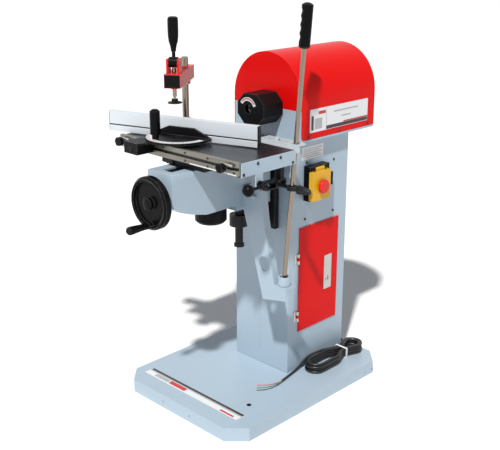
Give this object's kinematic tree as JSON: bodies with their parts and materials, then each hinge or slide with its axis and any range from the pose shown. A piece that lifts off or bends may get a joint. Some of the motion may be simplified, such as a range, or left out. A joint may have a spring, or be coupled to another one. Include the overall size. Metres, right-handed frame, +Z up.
{
  "type": "slot mortiser",
  "caption": "Floor-standing horizontal slot mortiser with a hooded motor head on a box column, a lever-worked cross table on a rising knee, swivel fence and eccentric clamp.",
  "frame": {"origin": "middle of the base's underside, on the floor", "axes": "+Z up; the operator stands at -Y and faces +Y, along the spindle; +X is the operator's right, where the long lever stands"},
  "size_m": [0.6325, 0.9455, 1.2865],
  "materials": {
    "grey_paint": "blue-grey enamel",
    "red_paint": "gloss enamel",
    "dark_metal": "dark ground or painted iron",
    "bare_steel": "satin",
    "chrome": "bright",
    "aluminium": "satin",
    "black_plastic": "satin black",
    "yellow_plastic": "gloss",
    "red_plastic": "gloss",
    "green_plastic": "gloss",
    "pale_sheet": "satin",
    "cord_rubber": "matte",
    "core_insulation": "satin"
  },
  "bodies": {
    "frame": {"base_tray": "grey_paint", "base_plug": "black_plastic", "column": "grey_paint", "hinge_lower": "bare_steel", "hinge_upper": "bare_steel", "head_tray": "grey_paint", "hood": "red_paint", "motor": "dark_metal", "chuck_guard": "black_plastic", "switch_box": "black_plastic", "column_slide": "dark_metal", "lift_nut": "dark_metal", "cable_gland": "black_plastic", "cord_lead": "cord_rubber", "cord_hank": "cord_rubber", "cord_tail": "cord_rubber", "cord_cores": "core_insulation", "cord_tie": "pale_sheet"},
    "door": {"door_leaf": "red_paint", "lock_plate": "bare_steel"},
    "lock": {"lock_core": "bare_steel"},
    "spindle": {"spindle_shaft": "bare_steel", "chuck": "bare_steel"},
    "flap": {"switch_flap": "yellow_plastic"},
    "stop_button": {"stop_button": "red_plastic"},
    "start_button": {"start_button": "green_plastic"},
    "knee": {"knee": "grey_paint", "screw_cover": "black_plastic", "lever_bracket": "grey_paint", "lever_cup": "pale_sheet"},
    "lift_screw": {"lift_screw": "bare_steel"},
    "handwheel": {"handwheel": "black_plastic"},
    "crank_grip": {"crank_grip": "black_plastic"},
    "saddle": {"saddle": "dark_metal"},
    "table": {"table_top": "dark_metal", "front_rail": "aluminium", "side_plate": "grey_paint", "rear_rail": "aluminium", "link_guide": "dark_metal", "protractor": "black_plastic", "clamp_post": "chrome"},
    "fence_lock": {"fence_lock": "black_plastic"},
    "fence": {"swivel": "black_plastic", "fence": "aluminium"},
    "stop_left": {"stop_block_left": "bare_steel"},
    "stop_knob_left": {"stop_knob_left": "black_plastic"},
    "stop_right": {"stop_block_right": "bare_steel"},
    "stop_knob_right": {"stop_knob_right": "black_plastic"},
    "lock_lever": {"lock_lever": "black_plastic"},
    "slot_plate": {"slot_plate": "aluminium"},
    "link_rod": {"link_rod": "chrome"},
    "clamp_collar": {"clamp_collar": "bare_steel"},
    "clamp_arm": {"clamp_arm": "red_paint"},
    "clamp_cam": {"clamp_cam": "black_plastic"},
    "clamp_plunger": {"clamp_plunger": "chrome"},
    "clamp_foot": {"clamp_foot": "black_plastic"},
    "lever_ball": {"lever_ball": "black_plastic"},
    "lever": {"lever_rod": "chrome", "lever_grip": "black_plastic"}
  },
  "joints": [
    {"name": "door_swing", "type": "hinge", "parent": "frame", "child": "door", "pos_m": [0.1268, 0.043, 0.35], "axis": [0, 0, -1], "range_deg": [0, 100]},
    {"name": "lock_turn", "type": "hinge", "parent": "door", "child": "lock", "pos_m": [0.126, 0.1955, 0.344], "axis": [-1, 0, 0], "range_deg": [0, 90]},
    {"name": "spindle_spin", "type": "hinge", "parent": "frame", "child": "spindle", "pos_m": [0, 0, 0.952], "axis": [0, 1, 0], "continuous": true},
    {"name": "flap_swing", "type": "hinge", "parent": "frame", "child": "flap", "pos_m": [0.1555, 0.103, 0.7585], "axis": [0, -1, 0], "range_deg": [0, 100]},
    {"name": "stop_press", "type": "slide", "parent": "flap", "child": "stop_button", "axis": [-1, 0, 0], "range_m": [0, 0.004], "stiffness_N_per_m": 500, "springref_m": -0.002},
    {"name": "start_press", "type": "slide", "parent": "frame", "child": "start_button", "axis": [-1, 0, 0], "range_m": [0, 0.003], "stiffness_N_per_m": 500, "springref_m": -0.002},
    {"name": "handwheel_turn", "type": "hinge", "parent": "knee", "child": "handwheel", "pos_m": [0, -0.45, 0.732], "axis": [0, 1, 0], "range_deg": [-5400.5, 1350.5]},
    {"name": "knee_lift", "type": "slide", "parent": "frame", "child": "knee", "axis": [0, 0, 1], "range_m": [-0.06, 0.015]},
    {"name": "screw_turn", "type": "hinge", "parent": "knee", "child": "lift_screw", "pos_m": [0, -0.107, 0.6], "axis": [0, 0, 1], "range_deg": [-5400.5, 1350.5]},
    {"name": "crank_grip_turn", "type": "hinge", "parent": "handwheel", "child": "crank_grip", "pos_m": [0, -0.517, 0.666], "axis": [0, 1, 0], "continuous": true},
    {"name": "saddle_cross", "type": "slide", "parent": "knee", "child": "saddle", "axis": [0, 1, 0], "range_m": [-0.04, 0.045]},
    {"name": "table_long", "type": "slide", "parent": "saddle", "child": "table", "axis": [1, 0, 0], "range_m": [-0.05, 0.055]},
    {"name": "slot_plate_slide", "type": "slide", "parent": "table", "child": "slot_plate", "axis": [1, 0, 0], "range_m": [-0.023, 0.0275]},
    {"name": "link_slide", "type": "slide", "parent": "table", "child": "link_rod", "axis": [0, 1, 0], "range_m": [-0.016, 0.013]},
    {"name": "lever_fore", "type": "hinge", "parent": "knee", "child": "lever_ball", "pos_m": [0.221, -0.13, 0.455], "axis": [-1, 0, 0], "range_deg": [-5.6, 6.9]},
    {"name": "lever_side", "type": "hinge", "parent": "lever_ball", "child": "lever", "pos_m": [0.221, -0.13, 0.455], "axis": [0, 0.9948, -0.1018], "range_deg": [-10, 12]},
    {"name": "table_lock_turn", "type": "hinge", "parent": "table", "child": "lock_lever", "pos_m": [0.2643, -0.2865, 0.804], "axis": [1, 0, 0], "range_deg": [-60, 60]},
    {"name": "stop_left_slide", "type": "slide", "parent": "table", "child": "stop_left", "axis": [1, 0, 0], "range_m": [-0.004, 0.04]},
    {"name": "stop_knob_left_turn", "type": "hinge", "parent": "stop_left", "child": "stop_knob_left", "pos_m": [-0.243, -0.3796, 0.8615], "axis": [0, 1, 0], "range_deg": [-180, 180]},
    {"name": "stop_right_slide", "type": "slide", "parent": "table", "child": "stop_right", "axis": [1, 0, 0], "range_m": [-0.2, 0.008]},
    {"name": "stop_knob_right_turn", "type": "hinge", "parent": "stop_right", "child": "stop_knob_right", "pos_m": [0.211, -0.3796, 0.8615], "axis": [0, 1, 0], "range_deg": [-180, 180]},
    {"name": "fence_swivel", "type": "hinge", "parent": "table", "child": "fence", "pos_m": [-0.062, -0.3, 0.89], "axis": [0, 0, 1], "range_deg": [-28, 20]},
    {"name": "fence_lock_turn", "type": "hinge", "parent": "table", "child": "fence_lock", "pos_m": [-0.08281, -0.37257, 0.9], "axis": [0, 0, 1], "range_deg": [-180, 180]},
    {"name": "clamp_height", "type": "slide", "parent": "table", "child": "clamp_collar", "axis": [0, 0, 1], "range_m": [-0.028, 0.024]},
    {"name": "clamp_arm_swing", "type": "hinge", "parent": "clamp_collar", "child": "clamp_arm", "pos_m": [-0.232, -0.12, 1.03], "axis": [0, 0, 1], "range_deg": [-35, 45]},
    {"name": "clamp_cam_turn", "type": "hinge", "parent": "clamp_arm", "child": "clamp_cam", "pos_m": [-0.13593, -0.24795, 1.098], "axis": [0.7997, 0.6004, 0], "range_deg": [0, 90]},
    {"name": "clamp_plunger_press", "type": "slide", "parent": "clamp_arm", "child": "clamp_plunger", "axis": [0, 0, -1], "range_m": [0, 0.0045]},
    {"name": "clamp_foot_tilt", "type": "hinge", "parent": "clamp_plunger", "child": "clamp_foot", "pos_m": [-0.13593, -0.24795, 0.987], "axis": [1, 0, 0], "range_deg": [-8, 8]}
  ],
  "couplings": [
    {"joint": "handwheel_turn", "follows": "knee_lift", "rad_per_m": 1570.8},
    {"joint": "screw_turn", "follows": "knee_lift", "rad_per_m": 1570.8},
    {"joint": "slot_plate_slide", "follows": "table_long", "ratio": 0.452},
    {"joint": "lever_side", "follows": "table_long", "rad_per_m": 3.407},
    {"joint": "link_slide", "follows": "saddle_cross", "ratio": -0.311},
    {"joint": "lever_fore", "follows": "saddle_cross", "rad_per_m": 2.358},
    {"joint": "clamp_plunger_press", "follows": "clamp_cam_turn", "m_per_rad": 0.0025465}
  ]
}
